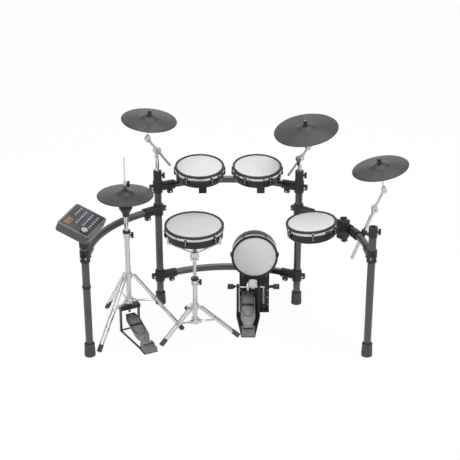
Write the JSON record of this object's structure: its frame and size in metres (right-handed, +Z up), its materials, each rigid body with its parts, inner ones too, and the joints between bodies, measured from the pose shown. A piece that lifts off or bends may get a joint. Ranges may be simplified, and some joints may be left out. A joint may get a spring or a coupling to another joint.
{
  "type": "electronic drum kit",
  "caption": "Electronic drum kit: tubular rack with mesh-headed pads, rubber cymbal pads on booms, hi-hat and snare on tripod stands, kick tower with pedal, and a sound module.",
  "frame": {"origin": "on the floor under the middle of the kit's outline", "axes": "+X to the right as the viewer sees the kit, +Y away from the viewer, +Z up"},
  "size_m": [1.8066, 0.9084, 1.1941],
  "materials": {
    "rack_tube": "satin",
    "black_plastic": "matte",
    "bolt_steel": "satin",
    "rubber": "matte",
    "shell_black": "satin",
    "mesh_head": "woven mesh",
    "rim_rubber": "matte",
    "chrome": "polished",
    "cymbal_rubber": "grooved satin",
    "black_metal": "satin",
    "pedal_grey": "satin",
    "felt": "felt",
    "spring_steel": "bright",
    "module_slate": "satin",
    "screen_amber": "lit display",
    "key_grey": "satin",
    "knob_silver": "brushed"
  },
  "bodies": {
    "kit_frame": {"rear_posts": "rack_tube", "front_legs": "rack_tube", "rack_bars": "rack_tube", "rack_clamps": "black_plastic", "leg_collars": "black_plastic", "clamp_bolts": "bolt_steel", "tom_mounts": "black_plastic", "boom_clamp": "black_plastic", "hihat_stand": "chrome", "hihat_upper_tube": "chrome", "hihat_controller": "black_plastic", "hihat_pedal_frame": "black_metal", "snare_stand": "chrome", "kick_shell": "shell_black", "kick_head": "mesh_head", "kick_rim": "rim_rubber", "kick_tower": "black_metal", "rubber_feet": "rubber", "kick_pedal_base": "black_metal", "kick_heel_plate": "pedal_grey", "kick_chain": "spring_steel", "kick_spring": "spring_steel", "module_bracket": "black_plastic"},
    "snare_riser": {"snare_upper_tube": "chrome"},
    "snare": {"snare_basket": "chrome", "snare_shell": "shell_black", "snare_head": "mesh_head", "snare_rim": "rim_rubber"},
    "tom_left": {"tom_left_shell": "shell_black", "tom_left_head": "mesh_head", "tom_left_rim": "rim_rubber"},
    "tom_right": {"tom_right_shell": "shell_black", "tom_right_head": "mesh_head", "tom_right_rim": "rim_rubber"},
    "floor_tom": {"floor_tom_shell": "shell_black", "floor_tom_head": "mesh_head", "floor_tom_rim": "rim_rubber"},
    "crash_left_riser": {"crash_left_tube": "chrome"},
    "crash_left_boom_arm": {"crash_left_boom": "chrome"},
    "crash_left_tilter_head": {"crash_left_tilter": "chrome"},
    "crash_left_pad": {"crash_left_cymbal": "cymbal_rubber"},
    "ride_riser": {"ride_tube": "chrome"},
    "ride_boom_arm": {"ride_boom": "chrome"},
    "ride_tilter_head": {"ride_tilter": "chrome"},
    "ride_pad": {"ride_cymbal": "cymbal_rubber"},
    "crash_right_riser": {"crash_right_tube": "chrome"},
    "crash_right_boom_arm": {"crash_right_boom": "chrome"},
    "crash_right_tilter_head": {"crash_right_tilter": "chrome"},
    "crash_right_pad": {"crash_right_cymbal": "cymbal_rubber"},
    "hihat_rod": {"hihat_pull_rod": "chrome", "hihat_cymbal": "cymbal_rubber", "hihat_linkage": "chrome"},
    "hihat_pedal": {"hihat_footboard": "pedal_grey"},
    "kick_beater_arm": {"kick_axle": "pedal_grey", "kick_beater": "felt"},
    "kick_pedal": {"kick_footboard": "pedal_grey"},
    "module": {"module_case": "module_slate", "module_screen": "screen_amber"},
    "module_dial": {"module_knob": "knob_silver"},
    "module_keys": {"module_buttons": "key_grey"}
  },
  "joints": [
    {"name": "snare_height", "type": "slide", "parent": "kit_frame", "child": "snare_riser", "axis": [0, 0, 1], "range_m": [-0.02, 0.03]},
    {"name": "snare_tilt", "type": "hinge", "parent": "snare_riser", "child": "snare", "pos_m": [-0.21679, -0.04784, 0.45417], "axis": [1, 0, 0], "range_deg": [-8, 10]},
    {"name": "tom_left_tilt", "type": "hinge", "parent": "kit_frame", "child": "tom_left", "pos_m": [-0.19179, 0.30443, 0.78508], "axis": [1, 0, 0], "range_deg": [-6, 10]},
    {"name": "tom_right_tilt", "type": "hinge", "parent": "kit_frame", "child": "tom_right", "pos_m": [0.12221, 0.30443, 0.78508], "axis": [1, 0, 0], "range_deg": [-6, 10]},
    {"name": "floor_tom_tilt", "type": "hinge", "parent": "kit_frame", "child": "floor_tom", "pos_m": [0.4599, -0.1008, 0.60783], "axis": [0, -1, 0], "range_deg": [-6, 10]},
    {"name": "crash_left_height", "type": "slide", "parent": "kit_frame", "child": "crash_left_riser", "axis": [0, 0, 1], "range_m": [-0.02, 0.04]},
    {"name": "crash_left_boom_tilt", "type": "hinge", "parent": "crash_left_riser", "child": "crash_left_boom_arm", "pos_m": [-0.42379, 0.26752, 0.941], "axis": [0.6051, -0.7962, 0], "range_deg": [-5, 14]},
    {"name": "crash_left_tilter_tilt", "type": "hinge", "parent": "crash_left_boom_arm", "child": "crash_left_tilter_head", "pos_m": [-0.46913, 0.22339, 1.024], "axis": [-0.4714, 0.8742, 0.1163], "range_deg": [-10, 10]},
    {"name": "crash_left_swing", "type": "hinge", "parent": "crash_left_tilter_head", "child": "crash_left_pad", "pos_m": [-0.45643, 0.21348, 1.14997], "axis": [-0.4714, 0.8742, 0.1163], "range_deg": [-6, 6], "stiffness_Nm_per_rad": 6},
    {"name": "ride_height", "type": "slide", "parent": "kit_frame", "child": "ride_riser", "axis": [0, 0, 1], "range_m": [-0.002, 0.04]},
    {"name": "ride_boom_tilt", "type": "hinge", "parent": "ride_riser", "child": "ride_boom_arm", "pos_m": [0.35421, 0.26752, 0.894], "axis": [0.6343, 0.7731, 0], "range_deg": [-1, 14]},
    {"name": "ride_tilter_tilt", "type": "hinge", "parent": "ride_boom_arm", "child": "ride_tilter_head", "pos_m": [0.39809, 0.24147, 0.971], "axis": [-0.3632, -0.9111, -0.1947], "range_deg": [-10, 10]},
    {"name": "ride_swing", "type": "hinge", "parent": "ride_tilter_head", "child": "ride_pad", "pos_m": [0.37979, 0.22329, 1.09024], "axis": [-0.3632, -0.9111, -0.1947], "range_deg": [-6, 6], "stiffness_Nm_per_rad": 6},
    {"name": "crash_right_height", "type": "slide", "parent": "kit_frame", "child": "crash_right_riser", "axis": [0.3469, 0, 0.9379], "range_m": [-0.03, 0.03]},
    {"name": "crash_right_boom_tilt", "type": "hinge", "parent": "crash_right_riser", "child": "crash_right_boom_arm", "pos_m": [0.73582, -0.0538, 0.736], "axis": [0, 1, 0], "range_deg": [-10, 12]},
    {"name": "crash_right_tilter_tilt", "type": "hinge", "parent": "crash_right_boom_arm", "child": "crash_right_tilter_head", "pos_m": [0.78182, -0.0461, 0.841], "axis": [0.0635, -0.9976, -0.0278], "range_deg": [-10, 10]},
    {"name": "crash_right_swing", "type": "hinge", "parent": "crash_right_tilter_head", "child": "crash_right_pad", "pos_m": [0.75282, -0.0519, 0.98295], "axis": [0.0635, -0.9976, -0.0278], "range_deg": [-6, 6], "stiffness_Nm_per_rad": 6},
    {"name": "hihat_close", "type": "slide", "parent": "kit_frame", "child": "hihat_rod", "axis": [0, 0, 1], "range_m": [-0.028, 0], "stiffness_N_per_m": 500, "springref_m": 0.035},
    {"name": "hihat_press", "type": "hinge", "parent": "kit_frame", "child": "hihat_pedal", "pos_m": [-0.47355, -0.24406, 0.03], "axis": [-0.8934, -0.4493, 0], "range_deg": [0, 6.8]},
    {"name": "kick_swing", "type": "hinge", "parent": "kit_frame", "child": "kick_beater_arm", "pos_m": [0.07321, 0.1242, 0.178], "axis": [-1, 0, 0], "range_deg": [0, 63], "stiffness_Nm_per_rad": 0.6, "springref_deg": -34.38, "deforming": ["kick_spring", "kick_chain"]},
    {"name": "kick_press", "type": "hinge", "parent": "kit_frame", "child": "kick_pedal", "pos_m": [0.07321, -0.0698, 0.03], "axis": [-1, 0, 0], "range_deg": [0, 7.9]},
    {"name": "module_tilt", "type": "hinge", "parent": "kit_frame", "child": "module", "pos_m": [-0.77183, -0.3158, 0.719], "axis": [0.299, 0.9542, 0], "range_deg": [-12, 12]},
    {"name": "dial_turn", "type": "hinge", "parent": "module", "child": "module_dial", "pos_m": [-0.75845, -0.41221, 0.77244], "axis": [0.3513, -0.1101, 0.9298], "continuous": true},
    {"name": "keys_press", "type": "slide", "parent": "module", "child": "module_keys", "axis": [0.3513, -0.1101, 0.9298], "range_m": [-0.001, 0], "stiffness_N_per_m": 600, "springref_m": 0.0006}
  ],
  "couplings": [
    {"joint": "hihat_press", "follows": "hihat_close", "rad_per_m": -4.2},
    {"joint": "kick_press", "follows": "kick_swing", "ratio": 0.1238}
  ]
}
